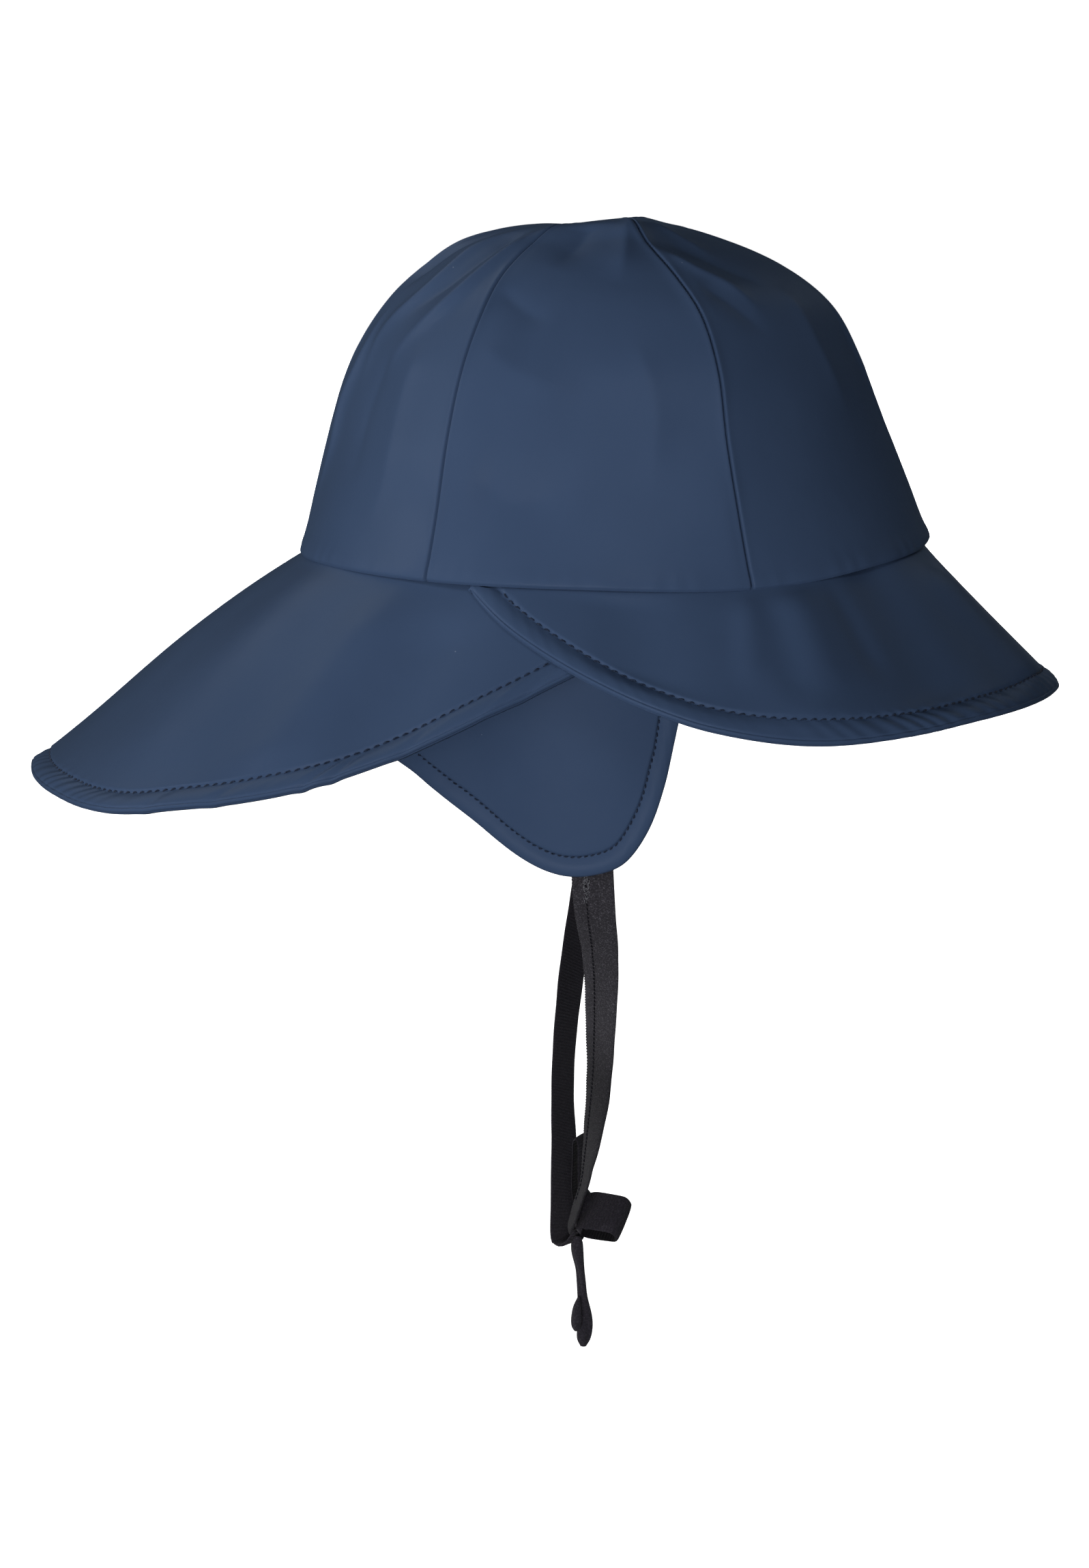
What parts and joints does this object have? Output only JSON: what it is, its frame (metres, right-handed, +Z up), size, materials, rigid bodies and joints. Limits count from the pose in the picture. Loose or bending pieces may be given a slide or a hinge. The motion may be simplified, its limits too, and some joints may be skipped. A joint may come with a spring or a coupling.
{
  "type": "rain hat",
  "caption": "Child's coated-cloth rain hat: gored crown, short front brim over a long back brim, ear flaps, and a ribbon chin strap tied in a half bow.",
  "frame": {"origin": "centre of the head opening, level with the seam where the crown meets the brims", "axes": "+X to the front of the hat, +Y to the wearer's left, +Z up"},
  "size_m": [0.2989, 0.2, 0.3337],
  "materials": {
    "coated_cloth": "navy polyurethane-coated cloth, satin",
    "black_webbing": "black woven ribbon, matt and slightly fuzzy"
  },
  "bodies": {
    "root": {"crown_gore_front_left": "coated_cloth", "crown_gore_side_left": "coated_cloth", "crown_gore_back_left": "coated_cloth", "crown_gore_back_right": "coated_cloth", "crown_gore_side_right": "coated_cloth", "crown_gore_front_right": "coated_cloth", "front_brim": "coated_cloth", "back_brim": "coated_cloth", "ear_flap_left": "coated_cloth", "ear_flap_right": "coated_cloth", "chin_strap_left": "black_webbing", "chin_strap_right": "black_webbing", "strap_knot": "black_webbing", "bow_loop": "black_webbing", "standing_loop": "black_webbing", "strap_tail": "black_webbing", "tail_fold": "black_webbing"}
  },
  "joints": []
}
